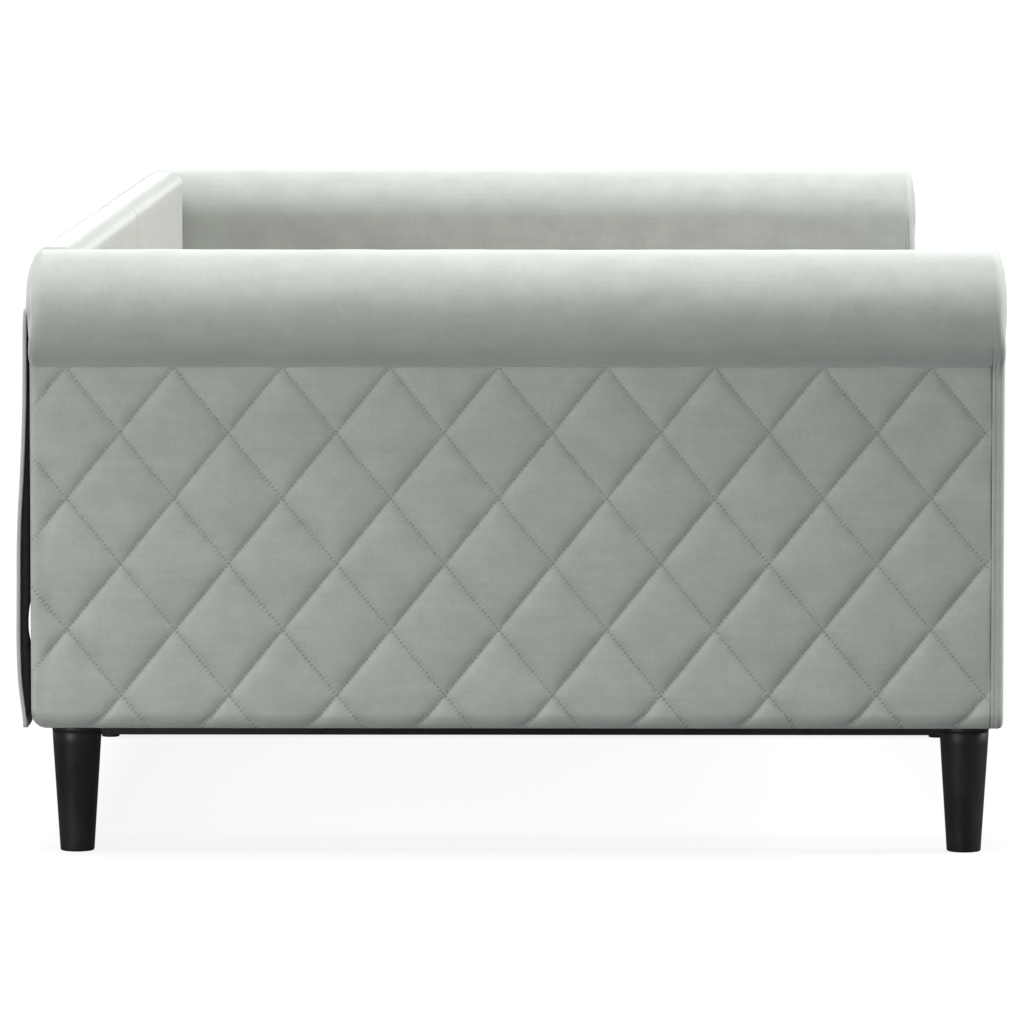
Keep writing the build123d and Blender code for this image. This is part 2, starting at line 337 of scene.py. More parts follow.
def velvet(name, colour, seams=False):
    """Short-pile velvet: brushed patches of nap, faint streaks, a fine pile and a soft sheen."""
    look = Look(name, 0.9, 0.08)
    patches = look.noise(look.place((1, 1, 1.3)), 24.0, 5.0, 0.62)
    streaks = look.noise(look.place((1, 1.4, 40)), 7.0, 3.0, 0.6)
    fine = look.noise(look.place((1, 3, 1)), 120.0, 3.0, 0.6)
    pile = look.noise(look.place(), 1400.0, 2.0, 0.6)
    dark = tuple(c * 0.95 for c in colour)
    light = tuple(c * 1.05 for c in colour)
    base = look.ramp(patches, dark, light, (0.36, 0.66))
    base = look.darken(base, streaks, 0.972, (0.42, 0.6))
    base = look.darken(base, fine, 0.965, (0.4, 0.6))
    base = look.darken(base, pile, 0.9, (0.3, 0.7), 0.5)
    height = look.maths("MULTIPLY", pile, 0.3)
    if seams:
        notches = stitch_notches(look)
        # Painted shade: the colour is darkened in the stitch pits, partly standing for the darker
        # thread's colour there.
        base = look.multiply(base, look.ramp(notches, grey(1.0), grey(0.74), (0.0, 1.0)))
        height = look.maths("SUBTRACT", height, look.maths("MULTIPLY", notches, 2.0))
    look.drive(base, "Base Color")
    look.set(**{"Sheen Weight": 0.5, "Sheen Roughness": 0.5, "Sheen Tint": (0.97, 1.0, 0.97, 1)})
    soft = look.bump(patches, 0.8 * MM, 0.2)
    look.bump(height, 0.5 * MM, 0.6, soft)
    return look.material


def stitch_notches(look):
    """1 in the small pits where each stitch of the quilting goes through the velvet, else 0."""
    maths = look.maths
    split = look.add("SeparateXYZ", look.add("TexCoord").outputs["Object"])
    y, z = split.outputs["Y"], split.outputs["Z"]
    u = maths("MULTIPLY", maths("SUBTRACT", y, CROSSING_Y), 1 / DIAMOND_WIDTH)
    v = maths("MULTIPLY", maths("SUBTRACT", z, SEAM_Z), 1 / DIAMOND_HEIGHT)
    across = maths("MULTIPLY", y, DIAMOND_WIDTH)
    up = maths("MULTIPLY", z, DIAMOND_HEIGHT)
    turn = 2 * math.pi / STITCH_PITCH / math.hypot(DIAMOND_WIDTH, DIAMOND_HEIGHT)
    found = []
    for operation, back in (("ADD", "SUBTRACT"), ("SUBTRACT", "ADD")):
        off = maths("PINGPONG", maths(operation, u, v), 0.5)
        near = maths("MULTIPLY", off, 1 / QUILT_GRADIENT)
        line = maths("POWER", math.e, maths("MULTIPLY", near, -1 / NOTCH_REACH))
        turns = maths("MULTIPLY", maths(back, across, up), turn)
        wave = maths("MULTIPLY", maths("ADD", maths("COSINE", turns, 0.0), 1.0), 0.5)
        found.append(maths("MULTIPLY", line, wave))
    return maths("MAXIMUM", *found)


def thread(name, colour):
    """Twisted sewing thread."""
    look = Look(name, 0.55, 0.4)
    bands = {"wave_type": "BANDS", "bands_direction": "DIAGONAL"}
    twist = look.add("TexWave", look.place(), Scale=900.0, **bands).outputs["Fac"]
    look.drive(look.ramp(twist, tuple(c * 0.7 for c in colour), colour), "Base Color")
    look.bump(twist, 0.1 * MM)
    return look.material


def nonwoven(name, colour):
    """Spun-bonded lining cloth: pressed fibres with a grid of small welded dots."""
    look = Look(name, 0.85, 0.25)
    fibres = look.noise(look.place((1, 1, 0.3)), 700.0, 5.0, 0.7)
    dots = look.cells(420.0, Randomness=0.12)["Distance"]
    light = tuple(c * 2.1 + 0.006 for c in colour)
    look.drive(look.ramp(fibres, colour, light), "Base Color")
    look.bump(look.maths("ADD", fibres, dots), 0.3 * MM, 0.6)
    return look.material


def foam(name):
    """Open-cell foam."""
    look = Look(name, 0.95, 0.1)
    pores = look.cells(650.0)["Distance"]
    base = look.ramp(look.noise(look.place(), 9.0), (0.74, 0.68, 0.48), (0.84, 0.79, 0.62))
    # Painted shade: the colour is darker in the pores, where the open cells lie in shade.
    look.drive(look.darken(base, pores, 0.7, (0.0, 0.5)), "Base Color")
    look.bump(pores, 0.6 * MM, 0.8)
    return look.material


def wood(name, dark, light, along, grain=1.0, roughness=0.6, coat=0.0):
    """Sawn or sanded wood, its grain running along one axis (0 to 2)."""
    look = Look(name, roughness, 0.35)
    stretch = [26.0, 26.0, 26.0]
    stretch[along] = 1.3
    rings = look.noise(look.place(stretch), 1.6 * grain, 6.0, 0.62)
    pores = look.noise(look.place([s * 14 for s in stretch]), 2.2, 2.0, 0.5)
    base = look.ramp(rings, dark, light, (0.32, 0.68))
    look.drive(look.darken(base, pores, 0.78, (0.3, 0.55), 0.8), "Base Color")
    look.drive(look.ramp(rings, grey(roughness - 0.08), grey(min(1, roughness + 0.1))), "Roughness")
    look.bump(pores, 0.15 * MM, 0.6)
    look.set(**{"Coat Weight": coat})
    return look.material


def hardboard(name):
    """Pressed brown fibreboard."""
    look = Look(name, 0.5, 0.4)
    fibres = look.noise(look.place((1, 1, 3)), 260.0, 6.0, 0.7)
    look.drive(look.ramp(fibres, (0.10, 0.055, 0.03), (0.22, 0.13, 0.07)), "Base Color")
    look.bump(fibres, 0.2 * MM, 0.6)
    return look.material


def chipboard(name):
    """Raw chipboard: pale and dark flakes pressed flat."""
    look = Look(name, 0.8, 0.25)
    tone = look.add("SeparateColor")
    look.link(look.cells(240.0, (1, 2, 1))["Color"], tone.inputs["Color"])
    flakes = tone.outputs[0]
    base = look.ramp(flakes, (0.36, 0.23, 0.12), (0.62, 0.46, 0.28), (0.1, 0.9))
    look.drive(base, "Base Color")
    look.bump(flakes, 0.25 * MM, 0.5)
    return look.material


def black_paint(name, level, roughness, grain=320.0):
    """Black paint or moulded plastic with a fine orange-peel surface and faint handling marks."""
    look = Look(name, roughness, 0.16)
    peel = look.noise(look.place(), grain, 2.0, 0.5)
    marks = look.noise(look.place((1, 1, 0.4)), 38.0, 5.0, 0.65)
    look.drive(look.ramp(marks, grey(level * 0.8), grey(level * 1.6)), "Base Color")
    gloss = look.ramp(marks, grey(roughness - 0.07), grey(roughness + 0.12), (0.35, 0.7))
    look.drive(gloss, "Roughness")
    look.bump(peel, 0.08 * MM, 0.5)
    return look.material


def zinc(name):
    """Zinc-plated steel with a mottled bright passivation."""
    look = Look(name, 0.34, 0.5)
    look.set(Metallic=1.0)
    spangle = look.noise(look.place(), 180.0, 4.0, 0.6)
    look.drive(look.ramp(spangle, (0.46, 0.46, 0.44), (0.68, 0.68, 0.64)), "Base Color")
    look.drive(look.ramp(spangle, grey(0.26), grey(0.46)), "Roughness")
    return look.material


def hook_tape(name):
    """Woven hook tape: a dense grid of small nylon hooks."""
    look = Look(name, 0.6, 0.4)
    hooks = look.cells(900.0, Randomness=0.25)["Distance"]
    look.drive(look.ramp(hooks, grey(0.05), grey(0.008), (0.1, 0.5)), "Base Color")
    look.bump(hooks, 0.5 * MM, 1.0)
    return look.material


PINE_DARK, PINE_LIGHT = (0.50, 0.31, 0.15), (0.72, 0.51, 0.29)

VELVET = velvet("velvet_plain", (0.352, 0.375, 0.348))
# The quilted panel's velvet is the same cloth a little darker: painted shade of the side-facing
# panel.
QUILT_VELVET = velvet("velvet_quilted", (0.348, 0.371, 0.344), seams=True)
THREAD = thread("thread", (0.25, 0.266, 0.247))
LINING = nonwoven("black_nonwoven", (0.006, 0.006, 0.006))
FOAM = foam("cushion_foam")
SLAT_WOOD = wood("slat_plywood", (0.46, 0.395, 0.30), (0.60, 0.53, 0.43), 1, 1.0, 0.5, 0.15)
LEDGE_WOOD = wood("pine_along", PINE_DARK, PINE_LIGHT, 0, grain=0.8)
DEPTH_WOOD = wood("pine_across", PINE_DARK, PINE_LIGHT, 1, grain=0.8)
RIB_WOOD = wood("rib_plywood", (0.46, 0.31, 0.17), (0.66, 0.49, 0.30), 2)
HARDBOARD = hardboard("hardboard")
CHIPBOARD = chipboard("chipboard")
LEG_BLACK = black_paint("leg_black", 0.0095, 0.42)
PANEL_BLACK = black_paint("panel_black", 0.012, 0.55, 180.0)
GLIDE_BLACK = black_paint("glide_black", 0.014, 0.5, 600.0)
ZINC = zinc("zinc_steel")
HOOKS = hook_tape("hook_tape")


# ---------------------------------------------------------------- the arms


def to_row(side, s, y, z):
    """Points of an arm: s outwards from its inner face, y and z as in the frame."""
    s, y, z = np.broadcast_arrays(s, y, z)
    return np.stack([SIDES[side] * (INNER_X + s), y, z], axis=-1)


def stretched_rows(y_from, y_to, step):
    return np.linspace(y_from, y_to, int(abs(y_to - y_from) / step) + 1)


def cover_outline(inset, face_count=80, arc_count=74):
    """(s, z) under the arm's inner edge, up its inner face, over the roll and down to the seam."""
    corner = max(2 * MM, INNER_CORNER - inset)
    low = BOTTOM + inset
    under = np.linspace(26 * MM, inset + corner, 4)[:-1]
    turn = np.linspace(0, math.pi / 2, 6)
    face_z = np.linspace(low + corner, ROLL_Z, face_count)[1:-1]
    radius = ROLL_RADIUS - inset
    end = math.acos((ARM_THICKNESS - SEAM_TUCK - inset - ROLL_RADIUS) / radius)
    arc = np.linspace(math.pi, -end, arc_count)
    s = [under, inset + corner - corner * np.sin(turn), np.full(len(face_z), inset)]
    z = [np.full(3, low), low + corner - corner * np.cos(turn), face_z]
    s.append(ROLL_RADIUS + radius * np.cos(arc))
    z.append(ROLL_Z + radius * np.sin(arc))
    return np.concatenate(s), np.concatenate(z)


def panel_rows(step):
    """The panel from the seam down: (z on its face, angle of the turn under, length underneath)."""
    flat = stretched_rows(SEAM_Z + PANEL_GAP, BOTTOM + OUTER_CORNER, step)
    turn = np.linspace(0, math.pi / 2, max(5, int(OUTER_CORNER * 1.57 / step)))[1:]
    under = np.linspace(0, 24 * MM, 5)[1:]
    z = np.concatenate([flat, np.full(len(turn) + len(under), flat[-1])])
    angle = np.concatenate([np.zeros(len(flat)), turn, np.full(len(under), math.pi / 2)])
    below = np.concatenate([np.zeros(len(flat) + len(turn)), under])
    return z, angle, below


def panel_points(rows, inset):
    """(s, z) of the panel's rows at this inset, which may differ from row to row."""
    z, angle, below = rows
    radius = OUTER_CORNER - inset
    s = ARM_THICKNESS - OUTER_CORNER + radius * np.cos(angle) - below
    return s, z - radius * np.sin(angle)


def neck_rise(inset):
    """How much higher panel and roll meet when both are moved inwards by inset."""
    reach = ARM_THICKNESS - inset - ROLL_RADIUS
    return ROLL_Z - np.sqrt((ROLL_RADIUS - inset) ** 2 - reach**2) - SEAM_Z


def closer_to_neck(z, angle, inset):
    """How far the panel's rows rise with the neck: all the way at the top and less below."""
    return neck_rise(inset) * np.exp(-(SEAM_Z + PANEL_GAP - z) / (15 * MM)) * (angle == 0)


def roll_share(z):
    """0 on the flat of the arm, 1 on the roll."""
    return smooth_step(z, SEAM_Z + 4 * MM, ROLL_Z + 2 * MM)


def corner_rise(back, radius, inset):
    """How far the bottom lifts this far from the arm's end, to round the lower corner."""
    reach = np.clip(radius - back, 0, radius)
    return np.maximum(radius - np.sqrt(radius**2 - reach**2) - inset, 0)


def lift(z, rise):
    return z + rise * (1 - smooth_step(z, BOTTOM, BOTTOM + 50 * MM))


# The shape of the arm's two ends, as (inset from the outline, distance back from the end) on the
# flat of the arm and on its roll.
FRONT_FLAT = [
    (0.55, 12.7), (0.05, 12.1), (0, 9.8), (0.4, 8.9), (0, 8.1), (-0.25, 6.6), (-0.1, 5.4),
    (0.35, 4.6), (0.25, 3.6), (0.9, 2.0), (2.0, 0.9), (3.6, 0.2), (6.0, 0.0), (10.0, 0.0),
]  # fmt: skip
FRONT_ROLL = [
    (0.1, 14.7), (0.0, 14.2), (0.05, 12.9), (0.3, 11.4), (0.6, 10.2), (1.1, 9.0), (1.9, 7.8),
    (2.9, 6.8), (4.0, 6.1), (5.2, 5.6), (6.6, 5.2), (8.2, 4.85), (10.0, 4.4), (12.0, 3.9),
]  # fmt: skip
FRONT_DOME_SHAPE = [(0, 13.1), (12.0, 3.9), (19.3, 2.4), (28.0, 1.1), (36.4, 0.3), (59.5, 0.0)]
REAR_FLAT = [
    (0, 18.6), (0, 14.0), (0, 10.0), (0, 8.0), (0, 6.5), (0.3, 4.6), (1.1, 2.9),
    (2.4, 1.4), (4.2, 0.5), (6.5, 0.1), (9.0, 0.0), (10.6, 0.9), (11.0, 4.0), (11.0, 7.5),
]  # fmt: skip
REAR_ROLL = [
    (0, 20.5), (0, 16.7), (0.15, 15.2), (0.5, 13.9), (1.1, 12.5), (1.9, 11.2), (2.9, 10.0),
    (4.2, 8.7), (6.0, 7.5), (8.0, 6.5), (10.4, 5.6), (11.4, 6.6), (11.6, 8.0), (11.6, 10.0),
]  # fmt: skip
REAR_DOME_SHAPE = [
    (0, 16.7), (10.4, 5.6), (14.7, 4.0), (19.0, 2.3), (24.7, 0.6), (30.0, 0.1), (59.5, 0.0),
]  # fmt: skip
REAR_LOW_CORNER = 15 * MM


def end_ring(flat, roll):
    """(s, z, back, roll's share) of the cover's outline at one step of an end's shape, in mm."""
    s, z = cover_outline(0.0)
    share = roll_share(z)
    s_flat, z_flat = cover_outline(flat[0] * MM)
    s_roll, z_roll = cover_outline(roll[0] * MM)
    s = s_flat + (s_roll - s_flat) * share
    z = z_flat + (z_roll - z_flat) * share
    return s, z, (flat[1] + (roll[1] - flat[1]) * share) * MM, share


def rear_ring(flat, roll):
    s, z, back, share = end_ring(flat, roll)
    z = lift(z, corner_rise(back, REAR_LOW_CORNER, flat[0] * MM))
    return s, REAR_Y + REAR_DOME * share - back, z


def arm_cover(side):
    """The plain velvet over the inner face and the roll, pulled tight into the seam."""
    s, z = cover_outline(0.0)
    run = np.concatenate([[0], np.cumsum(np.hypot(np.diff(s), np.diff(z)))])
    near_seam = FRONT_SEAM_Y + np.array([0.1, 0.5, 1.1, 2.2, 4.0]) * MM
    y = np.concatenate([near_seam, stretched_rows(FRONT_SEAM_Y + 7 * MM, REAR_Y - 30 * MM, 7 * MM)])
    grid_y = y[:, None]
    normal_s = np.gradient(z) * -1
    normal_z = np.gradient(s)
    length = np.hypot(normal_s, normal_z)
    normal_s, normal_z = normal_s / length, normal_z / length
    fade = smooth_step(REAR_Y - grid_y, 24 * MM, 60 * MM)
    swell = 0.35 * wobble(grid_y, run, 0.055, 1.0) + 0.2 * wobble(grid_y, run, 0.021, 3.0)
    swell = swell * MM * fade
    low_roll = 1 - smooth_step(z, ROLL_Z - 30 * MM, ROLL_Z + 10 * MM) * 0.8
    front_pull = 0.55 * MM * np.exp(-(grid_y - y[0]) / (1.6 * MM)) * low_roll
    seam_pull = 0.7 * MM * np.exp(-(run[-1] - run) / (4 * MM)) * fade
    shift = swell - front_pull - seam_pull
    body = to_row(side, s + normal_s * shift, grid_y, z + normal_z * shift)
    rings = [to_row(side, a, b, c) for a, b, c in map(rear_ring, REAR_FLAT, REAR_ROLL)]
    made = surface(f"{side}_arm_cover_velvet", np.concatenate([body, np.stack(rings)]), [VELVET])
    thicken(made, 1.2 * MM)
    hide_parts(f"{side}_arm_cover")
    return made


def quilt_phase(y, z):
    """The two diagonal counts of the quilting: whole numbers lie on the sewn lines."""
    u = (y - CROSSING_Y) / DIAMOND_WIDTH
    v = (z - SEAM_Z) / DIAMOND_HEIGHT
    return u + v, u - v


def quilt_height(y, z):
    """How far the quilting stands out from its sewn lines."""
    first, second = quilt_phase(y, z)
    near_first = np.abs(first - np.round(first)) / QUILT_GRADIENT
    near_second = np.abs(second - np.round(second)) / QUILT_GRADIENT
    crease = (1 - np.exp(-near_first / (5 * MM))) * (1 - np.exp(-near_second / (5 * MM)))
    pillow = np.abs(np.sin(math.pi * first) * np.sin(math.pi * second))
    nearest = np.minimum(near_first, near_second)
    along = np.where(near_first < near_second, y - z, y + z) / math.sqrt(2)
    pucker = np.cos(2 * math.pi * along / STITCH_PITCH) * np.exp(-nearest / (2.5 * MM))
    return (4.0 * crease + 2.2 * pillow + 0.15 * pucker) * MM


def quilt_inset(y, run_z):
    """How deep the panel's face lies under the arm's outline, quilting and edges together."""
    inset = QUILT_DEPTH - quilt_height(y, run_z)
    inset += 0.3 * MM * wobble(y, run_z, 0.05, 2.0)
    top = SEAM_Z - run_z
    inset += (2.0 * MM - inset) * np.exp(-np.maximum(top, 0) / (3 * MM)) * 0.75
    front = np.maximum(y - FRONT_SEAM_Y, 0)
    inset += (1.1 * MM - inset) * np.exp(-front / (3 * MM))
    return inset * smooth_step(REAR_Y - y, 8 * MM, 21 * MM)


def backed(name, grid, offset, stride, material):
    """A closed piece: a fine grid in front and a coarse one behind it, moved by offset."""
    rows, columns = grid.shape[:2]
    picks_i = sorted(set(range(0, rows, stride)) | {rows - 1})
    picks_j = sorted(set(range(0, columns, stride)) | {columns - 1})
    behind = grid[np.ix_(picks_i, picks_j)] + np.asarray(offset)
    front_count = rows * columns
    points = np.concatenate([grid.reshape(-1, 3), behind.reshape(-1, 3)])
    faces = [tuple(f) for f in grid_faces(rows, columns)]
    faces += [tuple(f + front_count) for f in grid_faces(len(picks_i), len(picks_j))[:, ::-1]]
    last_i, last_j = len(picks_i) - 1, len(picks_j) - 1

    def at(i, j):
        return front_count + i * len(picks_j) + j

    for j in range(last_j):
        fine = range(picks_j[j], picks_j[j + 1] + 1)
        faces.append([k for k in fine] + [at(0, j + 1), at(0, j)])
        faces.append([(rows - 1) * columns + k for k in fine] + [at(last_i, j + 1), at(last_i, j)])
    for i in range(last_i):
        fine = range(picks_i[i], picks_i[i + 1] + 1)
        faces.append([k * columns for k in fine] + [at(i + 1, 0), at(i, 0)])
        faces.append([k * columns + columns - 1 for k in fine] + [at(i + 1, last_j), at(i, last_j)])
    return consistent(new_object(name, points, faces, [material]))


def quilt_face(side):
    """The quilted outer panel, turned under at the bottom and round the rear edge."""
    rows = panel_rows(QUILT_STEP)
    z, angle, below = rows
    run_z = z - OUTER_CORNER * angle - below
    y = stretched_rows(FRONT_SEAM_Y, REAR_Y - 19 * MM, QUILT_STEP)
    under = 1 - smooth_step(angle, 0.5, 1.45)
    columns = []
    for place in y:
        s, up = panel_points(rows, quilt_inset(place, run_z) * under)
        columns.append(to_row(side, s, np.full(len(s), place), up))
    for inset, back in REAR_FLAT:
        inset, back = inset * MM, back * MM
        s, up = panel_points(rows, inset + quilt_inset(REAR_Y - back, run_z) * under)
        up = up + closer_to_neck(z, angle, inset)
        up = lift(up, corner_rise(back, REAR_LOW_CORNER, inset))
        columns.append(to_row(side, s, np.full(len(s), REAR_Y - back), up))
    offset = (-SIDES[side] * 4 * MM, -0.5 * MM, 1.0 * MM)
    made = backed(f"{side}_quilt_velvet", np.stack(columns), offset, 9, QUILT_VELVET)
    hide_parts(f"{side}_arm_quilted_panel")
    return made


def quilt_stitches(side):
    """Every sewn line of the quilting as single stitches lying in its groove."""
    low_z, high_z = BOTTOM + 12 * MM, SEAM_Z - 2 * MM
    low_y, high_y = FRONT_SEAM_Y + 2 * MM, REAR_Y - 14 * MM
    paths = []
    slope = DIAMOND_WIDTH / DIAMOND_HEIGHT
    for direction in (1, -1):
        for number in range(-9, 10):
            z = np.linspace(high_z, low_z, 260)
            y = CROSSING_Y + number * DIAMOND_WIDTH - direction * (z - SEAM_Z) * slope
            keep = (y > low_y) & (y < high_y)
            if keep.sum() < 3:
                continue
            s = ARM_THICKNESS - quilt_inset(y, z) - 0.1 * MM
            paths.append(to_row(side, s, y, z)[keep])
    outward = [(SIDES[side], 0, 0)] * len(paths)
    name = f"{side}_quilt_stitches"
    return stitches(name, paths, outward, STITCH_PITCH, 0.32 * MM, 0.25 * MM)


def filled(side, outline, y_ring, height, step, hole=None):
    """Points and faces that fill an outline of (s, z), with y from height(s, z).

    Points on the outline keep the y of y_ring, so that the fill meets the ring it closes.
    """
    ring = [Vector(p) for p in outline]
    count = len(ring)
    edges = [(k, (k + 1) % count) for k in range(count)]
    points = list(ring)
    if hole is not None:
        start = len(points)
        points += [Vector(p) for p in hole]
        edges += [(start + k, start + (k + 1) % len(hole)) for k in range(len(hole))]
    low, high = outline.min(axis=0), outline.max(axis=0)
    for a in np.arange(low[0] + step / 2, high[0], step):
        for b in np.arange(low[1] + step / 2, high[1], step):
            if np.hypot(outline[:, 0] - a, outline[:, 1] - b).min() > step * 0.45:
                points.append(Vector((a, b)))
    found = delaunay_2d_cdt(points, edges, [list(range(count))], 1, 1e-6)
    flat = np.array([tuple(p) for p in found[0]])
    triangles = np.array([f for f in found[2] if len(f) == 3])
    if hole is not None:
        middle = flat[triangles].mean(axis=1)
        inside = ((middle > np.min(hole, axis=0)) & (middle < np.max(hole, axis=0))).all(axis=1)
        triangles = triangles[~inside]
    used, places = np.unique(triangles, return_inverse=True)
    flat, triangles = flat[used], places.reshape(-1, 3)
    y = height(flat[:, 0], flat[:, 1])
    if y_ring is not None:
        between = flat[:, None] - outline[None]
        apart = np.hypot(between[..., 0], between[..., 1])
        nearest = apart.argmin(axis=1)
        on_ring = apart.min(axis=1) < 1e-5
        y = np.where(on_ring, y_ring[nearest], y)
    return to_row(side, flat[:, 0], y, flat[:, 1]), triangles


def dome(shape, depth):
    """An end's distance back at this depth inside the roll's outline."""
    places, values = zip(*shape)
    return np.interp(depth / MM, places, values) * MM


def front_band(side):
    """The padded band over the arm's front end, with a sewn edge and a domed roll."""
    rows = panel_rows(9 * MM)
    rings = []
    for flat, roll in zip(FRONT_FLAT, FRONT_ROLL):
        s, z, back, share = end_ring(flat, roll)
        s_down, z_down = panel_points(rows, flat[0] * MM)
        z_down = z_down + closer_to_neck(rows[0], rows[1], flat[0] * MM)
        y = FRONT_Y - FRONT_DOME * share + back
        s, z = np.concatenate([s[:-3], s_down[1:]]), np.concatenate([z[:-3], z_down[1:]])
        y = np.concatenate([y[:-3], np.full(len(s_down) - 1, FRONT_Y + flat[1] * MM)])
        rings.append(to_row(side, s, y, z))
    grid = np.stack(rings)
    faces = grid_faces(*grid.shape[:2], around=True)
    made = new_object(f"{side}_front_band_velvet", grid.reshape(-1, 3), faces, [VELVET])

    def height(a, b):
        share = roll_share(b)
        depth = ROLL_RADIUS - np.hypot(a - ROLL_RADIUS, b - ROLL_Z)
        return FRONT_Y + share * (dome(FRONT_DOME_SHAPE, np.maximum(depth, 0)) - FRONT_DOME)

    outline = np.stack([s, z], axis=1)
    points, triangles = filled(side, outline, y, height, 5 * MM)
    face = new_object(f"{side}_front_band_face", points, triangles, [VELVET])
    join([made, face])
    consistent(made)
    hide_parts(f"{side}_arm_front_band")
    return made


def join(pieces):
    """Joins pieces into the first one."""
    with bpy.context.temp_override(active_object=pieces[0], selected_editable_objects=pieces):
        bpy.ops.object.join()
    return pieces[0]


def front_topstitch(side):
    """The topstitching in the band's groove, on the panel's side and the inner side."""
    s, z = panel_points(panel_rows(3 * MM), 0.4 * MM)
    keep = (z < SEAM_Z - 2 * MM) & (s > ARM_THICKNESS - 3 * MM)
    y = FRONT_Y + 8.9 * MM
    outer = to_row(side, s[keep], y, z[keep])
    inner = to_row(side, 0.4 * MM, y, np.linspace(BOTTOM + 10 * MM, ROLL_Z, 90))
    outward = [(SIDES[side], 0, 0), (-SIDES[side], 0, 0)]
    name = f"{side}_front_topstitch"
    return stitches(name, [outer, inner], outward, 3.6 * MM, 0.3 * MM, 0.25 * MM)


# The groove along the flap's seam, deep enough for the flap to lift without touching the cap.
CAP_GROOVE, CAP_GROOVE_REACH = 4.6 * MM, 5.5 * MM


def rear_cap(side):
    """The padded piece that closes the roll above the flap's seam and outside the flap."""
    inset = 10.2 * MM
    radius = ROLL_RADIUS - inset
    low = flap_high.z + 0.4 * MM
    side_s = ARM_THICKNESS - 9 * MM
    arc = np.linspace(math.pi, -math.acos((side_s - ROLL_RADIUS) / radius), 84)
    s, z = ROLL_RADIUS + radius * np.cos(arc), ROLL_Z + radius * np.sin(arc)
    keep = (z >= low) | (s > ROLL_RADIUS)
    s, z = s[keep], z[keep]
    up_z = np.linspace(z[-1], low, 14)[1:]
    base_s = np.linspace(side_s, s[0], 20)[1:-1]
    outline = np.stack(
        [
            np.concatenate([s, np.full(len(up_z), side_s), base_s]),
            np.concatenate([z, up_z, np.full(len(base_s), low)]),
        ],
        axis=1,
    )

    def height(a, b):
        depth = ROLL_RADIUS - np.hypot(a - ROLL_RADIUS, b - ROLL_Z)
        seam = 0.7 * MM * np.exp(-np.maximum(depth - inset, 0) / (1.5 * MM))
        beside_flap = smooth_step(ARM_THICKNESS + 4 * MM - a, 0, 6 * MM)
        groove = CAP_GROOVE * np.exp(-np.maximum(b - low, 0) / CAP_GROOVE_REACH)
        seam += groove * beside_flap + 1.4 * MM * smooth_step(low - b, 0, 8 * MM)
        return REAR_Y + REAR_DOME - dome(REAR_DOME_SHAPE, np.maximum(depth, 0)) - seam

    points, triangles = filled(side, outline, None, height, 4 * MM)
    made = new_object(f"{side}_rear_cap_velvet", points, triangles, [VELVET])
    look_along(made, (0, 1, 0))
    thicken(made, 3 * MM)
    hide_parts(f"{side}_arm_rear_cap")
    return made


SLOT_WIDTH, SLOT_LENGTH = 26 * MM, 300 * MM
SLOT_PLACE = (33 * MM, 330 * MM)


def liner_slot():
    """The stitched slot in the lining, as (s, z) corners with rounded ends."""
    s, z = SLOT_PLACE
    radius, half = SLOT_WIDTH / 2, (SLOT_LENGTH - SLOT_WIDTH) / 2
    turn = np.linspace(0, math.pi, 9)
    top = [(s + radius * math.cos(t), z + half + radius * math.sin(t)) for t in turn]
    low = [(s - radius * math.cos(t), z - half - radius * math.sin(t)) for t in turn]
    return top + low


def rear_liner(side):
    """The black lining across the arm's rear opening, slack, with a slot for a hand."""
    edge = 9.5 * MM
    low, high = BOTTOM + edge, flap_high.z - 0.5 * MM
    up = np.linspace(low, high, 60)
    top = np.linspace(edge, ARM_THICKNESS - edge, 12)[1:-1]
    near, far = np.full(len(up), edge), np.full(len(up), ARM_THICKNESS - edge)
    s = np.concatenate([near, top, far, top[::-1]])
    z = np.concatenate([up, np.full(len(top), high), up[::-1], np.full(len(top), low)])

    def height(a, b):
        slack = 0.5 * wobble(a, b, 0.018, 2.0) + 0.7 * wobble(a, b, 0.06, 5.0)
        return liner_high.y - 1.0 * MM + slack * MM

    points, triangles = filled(side, np.stack([s, z], axis=1), None, height, 6 * MM, liner_slot())
    made = new_object(f"{side}_liner_cloth", points, triangles, [LINING])
    look_along(made, (0, 1, 0))
    thicken(made, 0.8 * MM)
    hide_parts(f"{side}_arm_rear_liner")
    area = float(polygons(made, "area", 1).sum()) / 2
    return made


# How far the flap stands off, in mm, down its length: (share of its drop, distance).
FLAP_SHAPE = [
    (0, 5.4), (0.02, 6.6), (0.112, 6.9), (0.217, 7.3), (0.332, 8.9), (0.413, 10.7), (0.494, 12.8),
    (0.573, 13.8), (0.704, 14.1), (0.795, 14.5), (0.881, 13.4), (0.921, 11.7), (0.959, 9.2),
    (1.0, 7.6),
]  # fmt: skip
# The heights between which light shows between the flap's lining and the arm.
GAP_HIGH, GAP_LOW = 0.258, 0.199
FLAP_COLUMNS = 27


def flap_stand(z):
    """How far the flap's outer face stands behind the arm at each height: it billows low down."""
    share = (flap_high.z - z) / (flap_high.z - flap_low.z)
    return smooth_curve(*zip(*FLAP_SHAPE), share) * MM


def flap_grid(low_z, rows):
    """Grids over the flap: height, place across, its outer face and the distance to its edge."""
    width = flap_high.x - flap_low.x
    across = (1 - np.cos(np.linspace(0, math.pi, FLAP_COLUMNS))) / 2
    z = np.linspace(flap_high.z, low_z, rows)
    grid_z, grid_a = np.meshgrid(z, across, indexing="ij")
    edge = np.minimum(grid_a, 1 - grid_a) * width
    ripple = 0.8 * MM * smooth_step(flap_high.z - grid_z, 20 * MM, 200 * MM)
    ripple *= wobble(grid_a * width, grid_z, 0.03, 4.0) * smooth_step(edge, 3 * MM, 16 * MM)
    outer = REAR_Y + flap_stand(grid_z) + ripple
    return grid_z, flap_low.x - INNER_X + grid_a * width, outer, edge


